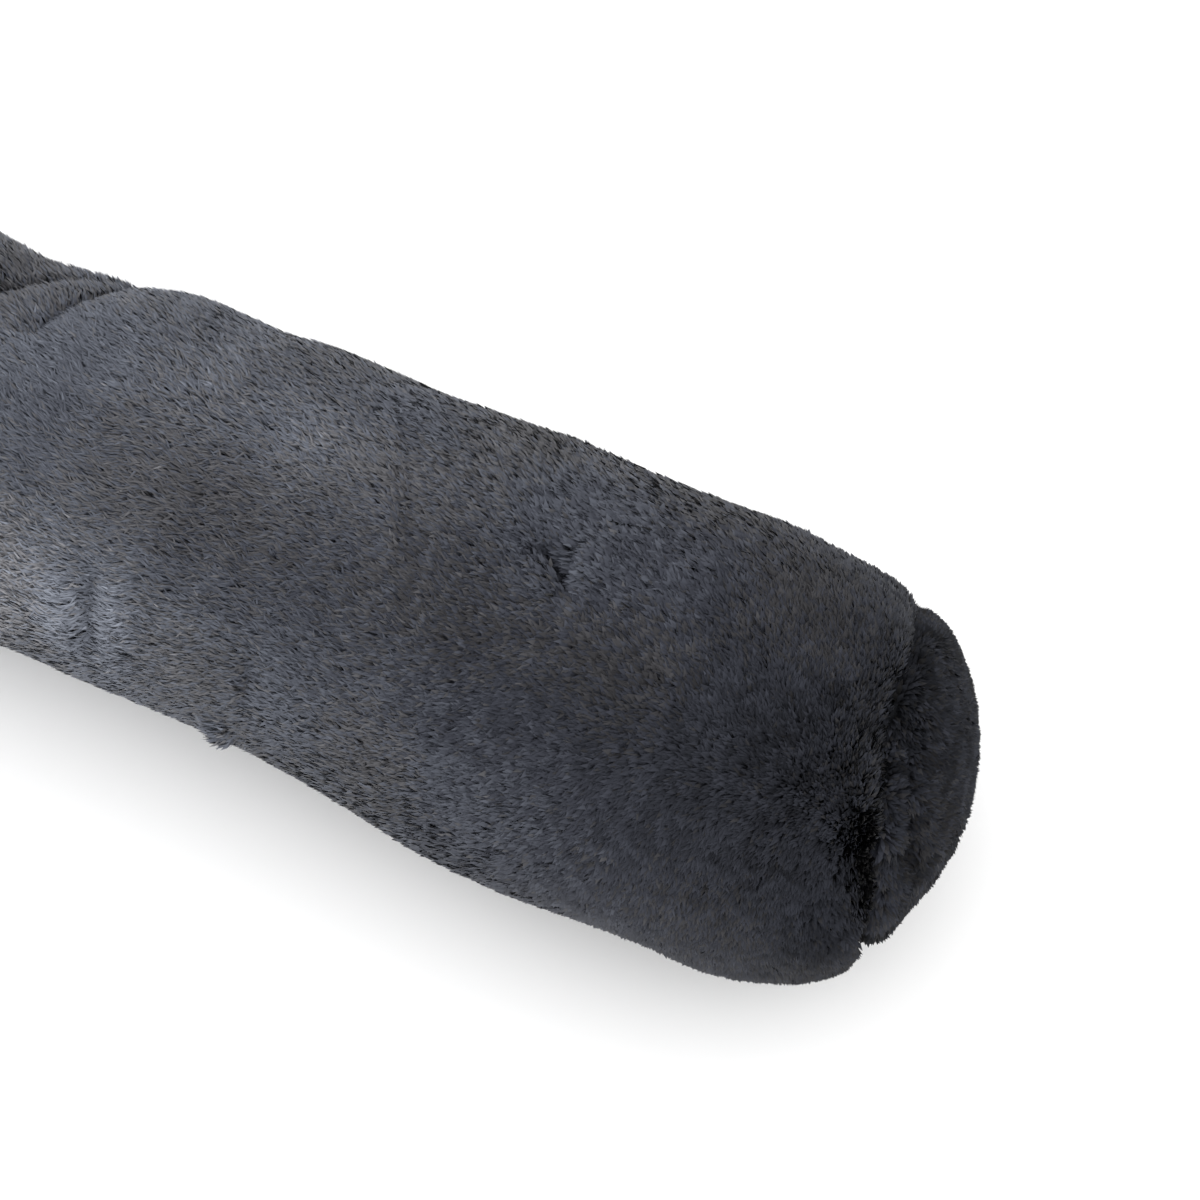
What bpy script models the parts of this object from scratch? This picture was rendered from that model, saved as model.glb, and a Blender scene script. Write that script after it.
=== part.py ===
"""A draught excluder: a long stuffed tube of short plush that lies along the foot of a door.

A maker cuts three pieces. One wide panel is rolled into the tube and closed along its length, and a
round panel is sewn into each end. The stuffed tube lies along X on the floor, which is Z = 0, with
its near end at +X. Angles go round the tube in degrees: 0 is the underside, 90 the front at -Y,
180 the top and 270 the back at +Y. All surfaces are those of the pile's tips.
"""

import math
from collections import namedtuple

import bmesh
import bpy
from mathutils import Matrix, Vector

# Overall sizes, in metres
LENGTH = 0.900
SQUASH_INTO_FLOOR = 0.010
PIECE_GAP = 0.0003

# The crown of an end panel: its height, its offset, its roundness and slope, and how it swells
# beside the seam. The slope is gentler on the flat side.
END_CROWN = 0.033
CROWN_OFF_MIDDLE = 0.010
CROWN_ROUNDNESS = 1.25
CROWN_SLOPE = 1.15
FLAT_SLOPE = 0.55
RIM_TUCK = 0.06
RIM_TUCK_HEIGHT = 0.004
PUCKERED_SHARE = 0.4

# The groove in which an end panel is sewn to the tube. The deepest and the shallowest place share
# its depth out, and the tube's rings turn from square to the seam's slant over the slant length.
GROOVE_DEPTH = 0.010
SHALLOWEST_SHARE = 0.30
SHOULDER_LENGTH = 0.013
TAPER_LENGTH = 0.045
SLANT_LENGTH = 0.110
PULL_SPREAD = 24
PUCKER_INSET = 0.006

# How finely the surfaces are cut up
POINTS_AROUND = 72
PLAIN_STEP = 0.018
FINE_STEP = 0.005
STEP_EASE = 0.050
NEAR_FINE_LENGTH = 0.050
FAR_FINE_LENGTH = 0.040
CREASED_FROM = 0.066
CREASED_TO = 0.128
END_RINGS = 9

# Sections of the tube along its length: lean is how far the middle lies towards the back
Section = namedtuple("Section", "x lean width height")
SECTIONS = (
    Section(x=-0.450, lean=-0.002, width=0.146, height=0.133),
    Section(x=-0.360, lean=-0.001, width=0.150, height=0.138),
    Section(x=-0.270, lean=0.001, width=0.147, height=0.136),
    Section(x=-0.180, lean=0.004, width=0.151, height=0.140),
    Section(x=-0.090, lean=0.004, width=0.149, height=0.138),
    Section(x=0.000, lean=0.001, width=0.143, height=0.136),
    Section(x=0.050, lean=-0.002, width=0.140, height=0.133),
    Section(x=0.085, lean=-0.002, width=0.134, height=0.130),
    Section(x=0.120, lean=0.003, width=0.139, height=0.131),
    Section(x=0.145, lean=0.004, width=0.142, height=0.133),
    Section(x=0.200, lean=0.003, width=0.140, height=0.133),
    Section(x=0.240, lean=0.001, width=0.144, height=0.136),
    Section(x=0.280, lean=-0.001, width=0.151, height=0.140),
    Section(x=0.320, lean=-0.001, width=0.152, height=0.141),
    Section(x=0.360, lean=-0.002, width=0.149, height=0.140),
    Section(x=0.400, lean=-0.002, width=0.147, height=0.136),
    Section(x=0.450, lean=-0.002, width=0.142, height=0.130),
)

# How each end panel sits. It reaches beyond the middle of its seam by reach. The seam slants by
# slant towards the side at slant_angle, and is pulled back by pull at pull_angle. The groove is
# deepest at deep_angle. The taper draws the tube in at taper_angle, where the crown is flatter.
End = namedtuple("End", "side reach slant slant_angle pull pull_angle deep_angle taper taper_angle")
NEAR_END = End(
    side=1, reach=0.0337, slant=0.014, slant_angle=95, pull=0.005, pull_angle=181,
    deep_angle=130, taper=0.013, taper_angle=62,
)
FAR_END = End(
    side=-1, reach=0.0330, slant=0.005, slant_angle=200, pull=0.003, pull_angle=40,
    deep_angle=170, taper=0.007, taper_angle=300,
)

# Puckers where the tube's edge is gathered into the end seams: reach is how far they run from it
Pucker = namedtuple("Pucker", "end angle spread reach height")
PUCKERS = (
    Pucker(end=1, angle=28, spread=9, reach=0.030, height=-0.0016),
    Pucker(end=1, angle=66, spread=9, reach=0.034, height=0.0018),
    Pucker(end=1, angle=88, spread=7, reach=0.028, height=-0.0016),
    Pucker(end=1, angle=112, spread=8, reach=0.034, height=0.0016),
    Pucker(end=1, angle=134, spread=7, reach=0.024, height=-0.0014),
    Pucker(end=1, angle=156, spread=8, reach=0.030, height=0.0018),
    Pucker(end=1, angle=182, spread=8, reach=0.036, height=-0.0024),
    Pucker(end=1, angle=208, spread=9, reach=0.026, height=0.0014),
    Pucker(end=1, angle=236, spread=8, reach=0.030, height=-0.0018),
    Pucker(end=1, angle=266, spread=10, reach=0.032, height=0.0016),
    Pucker(end=1, angle=300, spread=9, reach=0.028, height=-0.0016),
    Pucker(end=1, angle=334, spread=9, reach=0.026, height=0.0012),
    Pucker(end=-1, angle=40, spread=9, reach=0.030, height=-0.0018),
    Pucker(end=-1, angle=74, spread=9, reach=0.032, height=0.0016),
    Pucker(end=-1, angle=104, spread=8, reach=0.026, height=-0.0016),
    Pucker(end=-1, angle=132, spread=9, reach=0.034, height=0.0018),
    Pucker(end=-1, angle=164, spread=8, reach=0.030, height=-0.0020),
    Pucker(end=-1, angle=196, spread=9, reach=0.028, height=0.0016),
    Pucker(end=-1, angle=228, spread=8, reach=0.034, height=-0.0018),
    Pucker(end=-1, angle=262, spread=9, reach=0.026, height=0.0014),
    Pucker(end=-1, angle=296, spread=9, reach=0.030, height=-0.0016),
    Pucker(end=-1, angle=330, spread=9, reach=0.028, height=0.0014),
)

# Creases in the plush, each a trough between two places with a soft roll along one side of it.
# A crease fades out over the fade share of its run, a little beyond its two ends.
CREASE_FADE = 0.30
CREASE_OVERRUN = 0.12
ROLL_PLACE = 2.0
ROLL_WIDTH = 1.5
Crease = namedtuple("Crease", "x_from angle_from x_to angle_to depth width roll roll_side")
CREASES = (
    Crease(
        x_from=0.117, angle_from=264, x_to=0.100, angle_to=196,
        depth=0.0040, width=0.0050, roll=0.0020, roll_side=-1,
    ),
    Crease(
        x_from=0.108, angle_from=254, x_to=0.066, angle_to=190,
        depth=0.0036, width=0.0050, roll=0.0018, roll_side=-1,
    ),
    Crease(
        x_from=0.401, angle_from=88, x_to=0.404, angle_to=168,
        depth=0.0034, width=0.0065, roll=0.0014, roll_side=-1,
    ),
    Crease(
        x_from=-0.205, angle_from=238, x_to=-0.238, angle_to=168,
        depth=0.0036, width=0.0065, roll=0.0020, roll_side=1,
    ),
    Crease(
        x_from=-0.402, angle_from=190, x_to=-0.405, angle_to=290,
        depth=0.0030, width=0.0065, roll=0.0012, roll_side=1,
    ),
)

# Broad swellings and hollows of the stuffing
Lump = namedtuple("Lump", "x angle along around height")
LUMPS = (
    Lump(x=0.090, angle=66, along=0.030, around=34, height=-0.0012),
    Lump(x=0.162, angle=240, along=0.014, around=34, height=-0.0020),
    Lump(x=0.188, angle=238, along=0.016, around=36, height=0.0020),
    Lump(x=0.222, angle=150, along=0.028, around=44, height=-0.0016),
    Lump(x=0.300, angle=76, along=0.030, around=40, height=0.0022),
    Lump(x=0.318, angle=238, along=0.020, around=34, height=-0.0028),
    Lump(x=0.352, angle=240, along=0.028, around=36, height=0.0012),
    Lump(x=0.402, angle=62, along=0.018, around=30, height=0.0026),
    Lump(x=0.010, angle=206, along=0.045, around=46, height=0.0022),
    Lump(x=-0.050, angle=84, along=0.040, around=40, height=-0.0026),
    Lump(x=-0.130, angle=236, along=0.045, around=40, height=0.0028),
    Lump(x=-0.210, angle=110, along=0.040, around=38, height=0.0026),
    Lump(x=-0.300, angle=204, along=0.045, around=44, height=-0.0024),
    Lump(x=-0.370, angle=96, along=0.040, around=40, height=0.0022),
)

# Soft folds in the two end panels, each a trough on an arc of the crown. Its share is its place
# from the rim, 0, to the crown's top, 1.
PanelFold = namedtuple("PanelFold", "end share angle spread depth width")
PANEL_FOLDS = (
    PanelFold(end=1, share=0.30, angle=188, spread=46, depth=0.0030, width=0.085),
    PanelFold(end=1, share=0.42, angle=104, spread=34, depth=0.0022, width=0.090),
    PanelFold(end=-1, share=0.34, angle=150, spread=50, depth=0.0026, width=0.090),
    PanelFold(end=-1, share=0.40, angle=300, spread=40, depth=0.0022, width=0.090),
)

PLUSH_COLOUR = (0.062, 0.066, 0.076, 1.0)
END_PLUSH_COLOUR = (0.040, 0.042, 0.050, 1.0)
PLUSH_ROUGHNESS = 0.92
PLUSH_SHEEN = 0.35
SHARP_ANGLE = 60


def smooth(share):
    """An even ease from 0 to 1."""
    share = min(max(share, 0.0), 1.0)
    return share * share * (3.0 - 2.0 * share)


def bell(distance, width):
    return math.exp(-((distance / width) ** 2))


def turn_between(angle, other):
    """The shorter turn from other to angle, in degrees."""
    return (angle - other + 180.0) % 360.0 - 180.0


def section_at(x):
    """The tube's section at x, on a smooth curve through the table's rows."""
    last = len(SECTIONS) - 1
    row = next((i for i in range(last) if SECTIONS[i + 1].x >= x), last - 1)
    before = SECTIONS[max(row - 1, 0)]
    start = SECTIONS[row]
    end = SECTIONS[row + 1]
    after = SECTIONS[min(row + 2, last)]
    span = end.x - start.x
    t = min(max((x - start.x) / span, 0.0), 1.0)
    values = []
    for column in ("lean", "width", "height"):
        a = getattr(start, column)
        b = getattr(end, column)
        slope_a = (b - getattr(before, column)) / max(end.x - before.x, span) * span
        slope_b = (getattr(after, column) - a) / max(after.x - start.x, span) * span
        values.append(
            a * (2 * t**3 - 3 * t**2 + 1)
            + slope_a * (t**3 - 2 * t**2 + t)
            + b * (3 * t**2 - 2 * t**3)
            + slope_b * (t**3 - t**2)
        )
    return values


def seam_x(end):
    """Where the middle of an end seam lies along the tube."""
    return end.side * (LENGTH / 2 - end.reach)


def seam_slant(end, angle):
    """How far the end seam lies beyond its middle at an angle round the tube."""
    slant = end.slant * math.cos(math.radians(angle - end.slant_angle))
    pull = end.pull * bell(turn_between(angle, end.pull_angle), PULL_SPREAD)
    return end.side * (slant - pull)


def crease_relief(crease, x, angle, radius):
    """The trough and roll of one crease, as a height at a place on the tube."""
    start = Vector((crease.x_from, math.radians(crease.angle_from) * radius))
    end = Vector((crease.x_to, math.radians(crease.angle_to) * radius))
    here = Vector((x, math.radians(angle) * radius))
    run = end - start
    share = (here - start).dot(run) / run.length_squared
    side = run.cross(here - start) / run.length
    begin = smooth((share + CREASE_OVERRUN) / CREASE_FADE)
    finish = smooth((1.0 + CREASE_OVERRUN - share) / CREASE_FADE)
    trough = crease.depth * bell(side, crease.width)
    roll_middle = crease.roll_side * ROLL_PLACE * crease.width
    roll = crease.roll * bell(side - roll_middle, ROLL_WIDTH * crease.width)
    return begin * finish * (roll - trough)


def body_relief(x, angle, radius):
    """Height of the plush above the plain section: stuffing lumps, creases and puckers."""
    height = 0.0
    for lump in LUMPS:
        around = turn_between(angle, lump.angle)
        height += lump.height * bell(x - lump.x, lump.along) * bell(around, lump.around)
    for crease in CREASES:
        height += crease_relief(crease, x, angle, radius)
    for pucker in PUCKERS:
        end = NEAR_END if pucker.end > 0 else FAR_END
        inward = max((seam_x(end) + seam_slant(end, angle) - x) * pucker.end, 0.0)
        around = turn_between(angle, pucker.angle)
        along = bell(inward - PUCKER_INSET, pucker.reach)
        height += pucker.height * bell(around, pucker.spread) * along
    return height


def section_point(x, angle, outward):
    """A point round the section at x, moved outward by a height, and no lower than the floor."""
    lean, width, height = section_at(x)
    turn = math.radians(angle)
    half_height = (height + SQUASH_INTO_FLOOR) / 2
    middle = height - half_height
    y = lean - (width / 2 + outward) * math.sin(turn)
    z = middle - (half_height + outward) * math.cos(turn)
    return Vector((x, y, max(z, 0.0)))


def flatness(end, angle):
    """How near an angle is to the side that the taper draws in, from 0 to 1."""
    return (0.5 + 0.5 * math.cos(math.radians(angle - end.taper_angle))) ** 2


def drawn_in(end, inward, angle):
    """How much the tube is drawn in at a distance inward of its end seam."""
    roll = 1.0 - min(inward / SHOULDER_LENGTH, 1.0)
    deepness = 0.5 + 0.5 * math.cos(math.radians(angle - end.deep_angle))
    depth = GROOVE_DEPTH * (SHALLOWEST_SHARE + (1.0 - SHALLOWEST_SHARE) * deepness)
    shoulder = depth * (1.0 - math.sqrt(max(1.0 - roll * roll, 0.0)))
    taper = end.taper * flatness(end, angle) * smooth(1.0 - inward / TAPER_LENGTH)
    return shoulder + taper


def body_point(x, angle, relief=1.0):
    """A point of the tube's outer surface. Near its ends the rings follow the slant of the seams."""
    place = x
    draw = 0.0
    for end in (NEAR_END, FAR_END):
        inward = (seam_x(end) - x) * end.side
        place += seam_slant(end, angle) * smooth(1.0 - inward / SLANT_LENGTH)
        draw += drawn_in(end, inward, angle)
    _, width, _ = section_at(x)
    outward = relief * body_relief(place, angle, width / 2) - draw
    point = section_point(x, angle, outward)
    point.x = place
    return point


def stations():
    """Where the tube's rings stand: close together near the end seams and at the deep creases."""
    fine = (
        (seam_x(FAR_END), seam_x(FAR_END) + FAR_FINE_LENGTH),
        (CREASED_FROM, CREASED_TO),
        (seam_x(NEAR_END) - NEAR_FINE_LENGTH, seam_x(NEAR_END)),
    )
    places = [seam_x(FAR_END)]
    while places[-1] < seam_x(NEAR_END) - 0.5 * FINE_STEP:
        x = places[-1]
        near = min(max(low - x, x - high, 0.0) for low, high in fine)
        step = FINE_STEP + (PLAIN_STEP - FINE_STEP) * smooth(near / STEP_EASE)
        places.append(x + step)
    places[-1] = seam_x(NEAR_END)
    return places


def round_angles():
    return [360.0 * i / POINTS_AROUND for i in range(POINTS_AROUND)]


def wall_middle(end):
    """The middle of the wall in which the tube meets its end panel."""
    ring = [body_point(seam_x(end), angle) for angle in round_angles()]
    return sum(ring, Vector()) / len(ring)


def crown_shift(end):
    """How far the crown's top lies off the panel's middle, away from the side drawn in."""
    turn = math.radians(end.taper_angle)
    return Vector((0.0, math.sin(turn), math.cos(turn))) * CROWN_OFF_MIDDLE


def panel_point(end, middle, share, angle):
    """A point of an end panel's crown, share going from 0 at the seam to 1 at its middle."""
    rim = body_point(seam_x(end), angle, relief=1.0 - smooth(share / PUCKERED_SHARE))
    sweep = share * math.pi / 2
    flat = flatness(end, angle)
    height = END_CROWN * math.sin(sweep) ** (CROWN_SLOPE + FLAT_SLOPE * flat)
    tuck = RIM_TUCK * (1.0 - flat) * (1.0 - math.exp(-height / RIM_TUCK_HEIGHT))
    reach = (1.0 + tuck) * math.cos(sweep) ** CROWN_ROUNDNESS
    for fold in PANEL_FOLDS:
        if fold.end == end.side:
            across = bell(share - fold.share, fold.width)
            height -= fold.depth * across * bell(turn_between(angle, fold.angle), fold.spread)
    point = middle + crown_shift(end) * math.sin(sweep) ** 2 + (rim - middle) * reach
    point.x += end.side * height
    point.z = max(point.z, 0.0)
    return point


def skin_rings(mesh, rings, first_middle, last_middle):
    """Closes a stack of rings into one solid, each end running to a point in its middle."""
    rows = [[mesh.verts.new(point) for point in ring] for ring in rings]
    count = len(rows[0])
    for row, following in zip(rows, rows[1:]):
        for i in range(count):
            j = (i + 1) % count
            mesh.faces.new((row[i], row[j], following[j], following[i]))
    for row, middle, turned in ((rows[0], first_middle, True), (rows[-1], last_middle, False)):
        tip = mesh.verts.new(middle)
        for i in range(count):
            j = (i + 1) % count
            mesh.faces.new((row[j], row[i], tip) if turned else (row[i], row[j], tip))


def plush(name, colour):
    """Short dense plush: matt, with a soft sheen along its edges."""
    material = bpy.data.materials.new(name)
    material.use_nodes = True
    shader = material.node_tree.nodes["Principled BSDF"]
    shader.inputs["Base Color"].default_value = colour
    shader.inputs["Roughness"].default_value = PLUSH_ROUGHNESS
    shader.inputs["Metallic"].default_value = 0.0
    shader.inputs["Sheen Weight"].default_value = PLUSH_SHEEN
    material.diffuse_color = colour
    return material


def solid(name, rings, first_middle, last_middle, material, collection):
    """One closed piece, shaded smooth, as an object of its own."""
    shape = bmesh.new()
    skin_rings(shape, rings, first_middle, last_middle)
    bmesh.ops.recalc_face_normals(shape, faces=shape.faces)
    data = bpy.data.meshes.new(name)
    shape.to_mesh(data)
    shape.free()
    data.materials.append(material)
    data.shade_smooth()
    data.set_sharp_from_angle(angle=math.radians(SHARP_ANGLE))
    piece = bpy.data.objects.new(name, data)
    collection.objects.link(piece)
    return piece


def make_body_panel(collection):
    """The wide panel, closed along its length and stuffed."""
    rings = [[body_point(x, angle) for angle in round_angles()] for x in stations()]
    return solid(
        "body_panel",
        rings,
        wall_middle(FAR_END),
        wall_middle(NEAR_END),
        plush("body_plush", PLUSH_COLOUR),
        collection,
    )


def make_end_panel(name, end, collection):
    """A round panel, sewn into one end and crowned by the stuffing behind it."""
    away = Vector((end.side * PIECE_GAP, 0.0, 0.0))
    middle = wall_middle(end)
    rings = [
        [panel_point(end, middle, i / END_RINGS, angle) + away for angle in round_angles()]
        for i in range(END_RINGS)
    ]
    tip = middle + away + crown_shift(end)
    tip.x += end.side * END_CROWN
    material = plush(name + "_plush", END_PLUSH_COLOUR)
    return solid(name, rings, middle + away, tip, material, collection)


def centre_over_origin(pieces):
    """Moves the pieces together so that the middle of their box is over the origin."""
    points = [vertex.co for piece in pieces for vertex in piece.data.vertices]
    move = Vector((0.0, 0.0, 0.0))
    for axis in (0, 1):
        values = [point[axis] for point in points]
        move[axis] = -(min(values) + max(values)) / 2
    for piece in pieces:
        piece.data.transform(Matrix.Translation(move))


def build():
    for item in list(bpy.data.objects):
        bpy.data.objects.remove(item, do_unlink=True)
    collection = bpy.data.collections.new("draught_excluder")
    bpy.context.scene.collection.children.link(collection)
    pieces = [
        make_body_panel(collection),
        make_end_panel("end_panel_near", NEAR_END, collection),
        make_end_panel("end_panel_far", FAR_END, collection),
    ]
    centre_over_origin(pieces)


build()
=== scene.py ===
"""The finished draught excluder: a stuffed tube of short dense plush, a round panel in each end.

Each stuffed piece is a padded skin, blown up against its own cloth. Its pile stands on the skin as
small bent tufts, which lean towards the far end and fan out round the near end. Angles go round the
tube in degrees: 0 is the underside, 90 the front at -Y, 180 the top and 270 the back at +Y.
"""

import math
from collections import namedtuple
from functools import partial

import bmesh
import bpy
import numpy as np
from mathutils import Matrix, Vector


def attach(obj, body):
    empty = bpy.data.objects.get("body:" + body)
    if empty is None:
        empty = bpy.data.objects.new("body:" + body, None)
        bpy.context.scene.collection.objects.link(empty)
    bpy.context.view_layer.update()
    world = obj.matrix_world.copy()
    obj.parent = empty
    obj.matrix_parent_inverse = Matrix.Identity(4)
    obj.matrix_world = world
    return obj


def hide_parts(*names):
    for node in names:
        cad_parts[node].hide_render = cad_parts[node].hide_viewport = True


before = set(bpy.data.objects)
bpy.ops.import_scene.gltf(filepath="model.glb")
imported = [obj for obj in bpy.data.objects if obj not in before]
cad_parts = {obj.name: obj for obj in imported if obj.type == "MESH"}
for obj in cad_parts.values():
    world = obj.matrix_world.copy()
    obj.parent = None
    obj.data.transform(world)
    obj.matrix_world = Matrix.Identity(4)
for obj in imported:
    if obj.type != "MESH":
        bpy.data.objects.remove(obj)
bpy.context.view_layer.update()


# The tube's skin is the woven backing of one wide panel of plush, rolled, closed along its length
# and stuffed with loose fibre. It lies inside the pile, so it starts as the solid drawn in by the
# height of the pile, and its stuffing then swells it.

CLOTH_VOXEL = 0.0060
SWELL_PRESSURE = 4.0
SWELL_FRAMES = 20
TUBE_SWELL = 0.003
SMALLEST_MOVE = 0.000001
MIDDLE_LINE_STEP = 0.012
JOINED_WITHIN = 0.00001
WALL_FAN_EDGES = 20
SMALLEST_RADIUS = 0.001


def select_only(piece):
    bpy.ops.object.select_all(action="DESELECT")
    piece.select_set(True)
    bpy.context.view_layer.objects.active = piece


def apply_modifier(piece, modifier):
    select_only(piece)
    bpy.ops.object.modifier_apply(modifier=modifier.name)


def points_of(piece):
    points = np.empty(len(piece.data.vertices) * 3)
    piece.data.vertices.foreach_get("co", points)
    return points.reshape(-1, 3)


def move_points(piece, points):
    piece.data.vertices.foreach_set("co", points.ravel())
    piece.data.update()


def copy_of(node, name):
    """A new piece with a solid's shape, its loose triangles joined."""
    piece = bpy.data.objects.new(name, bpy.data.meshes.new(name))
    shape = bmesh.new()
    shape.from_mesh(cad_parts[node].data)
    bmesh.ops.remove_doubles(shape, verts=shape.verts, dist=JOINED_WITHIN)
    shape.to_mesh(piece.data)
    shape.free()
    bpy.context.scene.collection.objects.link(piece)
    return piece


def rim_of(piece):
    """The edge of a piece's flat sewn wall, which is a fan of triangles round one point."""
    shape = bmesh.new()
    shape.from_mesh(piece.data)
    rims = []
    for vertex in shape.verts:
        if len(vertex.link_edges) > WALL_FAN_EDGES:
            ring = [edge.other_vert(vertex).co.copy() for edge in vertex.link_edges]
            rims.append((vertex.co.copy(), np.array(ring)))
    shape.free()
    return rims


tube = copy_of("body_panel", "tube_skin")
solid_points = points_of(tube)
line_x = np.arange(solid_points[:, 0].min(), solid_points[:, 0].max(), MIDDLE_LINE_STEP)
near_line = [solid_points[abs(solid_points[:, 0] - x) < MIDDLE_LINE_STEP] for x in line_x]
line_y = [(points[:, 1].min() + points[:, 1].max()) / 2 for points in near_line]
line_z = [(points[:, 2].min() + points[:, 2].max()) / 2 for points in near_line]


def from_middle_line(points):
    """Where places lie seen from the tube's middle line, as two columns, Y and Z."""
    y = points[:, 1] - np.interp(points[:, 0], line_x, line_y)
    z = points[:, 2] - np.interp(points[:, 0], line_x, line_z)
    return np.stack((y, z), 1)


def angle_round(points):
    """The angle of each place round the tube, in degrees."""
    y, z = from_middle_line(points).T
    return np.degrees(np.arctan2(-y, -z)) % 360.0


def turn_between(angle, other):
    return (angle - other + 180.0) % 360.0 - 180.0


def smooth(share):
    share = np.clip(share, 0.0, 1.0)
    return share * share * (3.0 - 2.0 * share)


def bell(distance, width):
    return np.exp(-((distance / width) ** 2))


# How the tube's pile stands at places along it: its rise from the cloth in degrees on the front and
# on the back, and its length
Nap = namedtuple("Nap", "x front back length")
TUBE_NAP = (
    Nap(x=-0.420, front=34, back=34, length=0.0070),
    Nap(x=-0.405, front=26, back=28, length=0.0090),
    Nap(x=-0.360, front=22, back=24, length=0.0095),
    Nap(x=0.120, front=19, back=28, length=0.0092),
    Nap(x=0.200, front=19, back=20, length=0.0090),
    Nap(x=0.250, front=24, back=24, length=0.0088),
    Nap(x=0.285, front=32, back=40, length=0.0088),
    Nap(x=0.312, front=26, back=24, length=0.0088),
    Nap(x=0.350, front=32, back=26, length=0.0092),
    Nap(x=0.372, front=36, back=32, length=0.0092),
    Nap(x=0.390, front=38, back=36, length=0.0090),
    Nap(x=0.407, front=50, back=48, length=0.0080),
    Nap(x=0.420, front=78, back=66, length=0.0066),
)
FRONT_ANGLE = 128
BACK_ANGLE = 182
CRUSHED_BELOW = 0.014
CRUSHED_RISE = 9
TUBE_RADIUS = 0.070
ROOT_STEEPER = 22
TIP_FLATTER = 10
BEND_SHARE = 0.70
tube_nap = np.array(TUBE_NAP)

# What changes along the tube: by how much at most, where it starts and over what run. A negative run
# goes towards the far end
Change = namedtuple("Change", "most start run")
PARTING_ANGLE = 154
PARTING_REACH = 0.021
FAN_UP = Change(most=50, start=0.31, run=0.10)
FAN_DOWN = Change(most=98, start=0.29, run=0.09)
FAN_OVER = Change(most=24, start=0.400, run=0.015)
CORNER_ANGLE = 66
CORNER_AROUND = 34.0
CORNER_START = Change(most=1.0, start=0.404, run=0.014)
CORNER_PROUD = 0.25
LEAN_START = Change(most=1.0, start=-0.43, run=0.06)
AXIS_REACH = 0.02


def change_at(points, change):
    return change.most * smooth((points[:, 0] - change.start) / change.run)


def nap_height(rise, length):
    """How high tufts stand above the cloth."""
    low = BEND_SHARE * np.sin(np.radians(rise + ROOT_STEEPER))
    high = (1.0 - BEND_SHARE) * np.sin(np.radians(rise - TIP_FLATTER))
    return length * (low + high)


def nap_reach(rise, length):
    """How far tufts reach over the cloth."""
    low = BEND_SHARE * np.cos(np.radians(rise + ROOT_STEEPER))
    high = (1.0 - BEND_SHARE) * np.cos(np.radians(rise - TIP_FLATTER))
    return length * (low + high)


def tube_fan(points):
    """How far the pile turns away from the tube's length, where it fans out at the near end."""
    around = np.radians(turn_between(angle_round(points), PARTING_ANGLE)) * TUBE_RADIUS
    up = change_at(points, FAN_UP)
    down = change_at(points, FAN_DOWN) + change_at(points, FAN_OVER)
    return np.radians(np.where(around > 0.0, up, down)) * np.tanh(around / PARTING_REACH)


def at_corner(points):
    """From 0 to 1 where the pile bushes out round the low front of the near seam."""
    low_front = bell(turn_between(angle_round(points), CORNER_ANGLE), CORNER_AROUND)
    return low_front * change_at(points, CORNER_START)


def crushed_flat(points, rise):
    """The rise of the pile, which the tube's own weight crushes flat on the floor."""
    return rise + (CRUSHED_RISE - rise) * smooth(1.0 - points[:, 2] / CRUSHED_BELOW)


def tube_rise(points):
    """The rise of the tube's pile."""
    front = np.interp(points[:, 0], tube_nap[:, 0], tube_nap[:, 1])
    back = np.interp(points[:, 0], tube_nap[:, 0], tube_nap[:, 2])
    backness = smooth((angle_round(points) - FRONT_ANGLE) / (BACK_ANGLE - FRONT_ANGLE))
    rise = front + (back - front) * backness
    return crushed_flat(points, rise)


def tube_length(points):
    return np.interp(points[:, 0], tube_nap[:, 0], tube_nap[:, 3])


def tube_reach(points):
    """How far the tips of the tube's pile lie beyond their roots, towards the far end."""
    reach = nap_reach(tube_rise(points), tube_length(points))
    reach *= np.maximum(np.cos(tube_fan(points)), 0.0)
    return reach * change_at(points, LEAN_START)


def draw_in_tube(points):
    """The tube's points moved from the tips of the pile to its roots."""
    offset = from_middle_line(points)
    radius = np.maximum(np.linalg.norm(offset, axis=1), SMALLEST_RADIUS)
    height = nap_height(tube_rise(points), tube_length(points)) * smooth(radius / AXIS_REACH)
    height *= 1.0 - CORNER_PROUD * at_corner(points)
    drawn = points.copy()
    drawn[:, 1:] -= offset / radius[:, None] * height[:, None]
    drawn[:, 0] += tube_reach(points)
    return drawn


def swell(piece, most):
    """Lets the stuffing press a piece outwards, no point further than most, all closed seams kept."""
    remesh = piece.modifiers.new("Weave", "REMESH")
    remesh.mode = "VOXEL"
    remesh.voxel_size = CLOTH_VOXEL
    apply_modifier(piece, remesh)
    start = points_of(piece)
    cloth = piece.modifiers.new("Stuffing", "CLOTH")
    cloth.settings.use_pressure = True
    cloth.settings.uniform_pressure_force = SWELL_PRESSURE
    cloth.settings.effector_weights.gravity = 0.0
    for step in range(1, SWELL_FRAMES + 1):
        bpy.context.scene.frame_set(step)
    apply_modifier(piece, cloth)
    bpy.context.scene.frame_set(1)
    moved = points_of(piece) - start
    far = np.linalg.norm(moved, axis=1, keepdims=True)
    moved *= np.minimum(far, most) / np.maximum(far, SMALLEST_MOVE)
    moved[:, 0] = 0.0
    move_points(piece, start + moved)
    finer = piece.modifiers.new("Finer", "SUBSURF")
    finer.levels = 1
    finer.render_levels = 1
    apply_modifier(piece, finer)
    select_only(piece)
    bpy.ops.object.shade_smooth()


near_middle, near_rim = max(rim_of(tube), key=lambda rim: rim[0].x)
far_middle, far_rim = min(rim_of(tube), key=lambda rim: rim[0].x)


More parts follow.
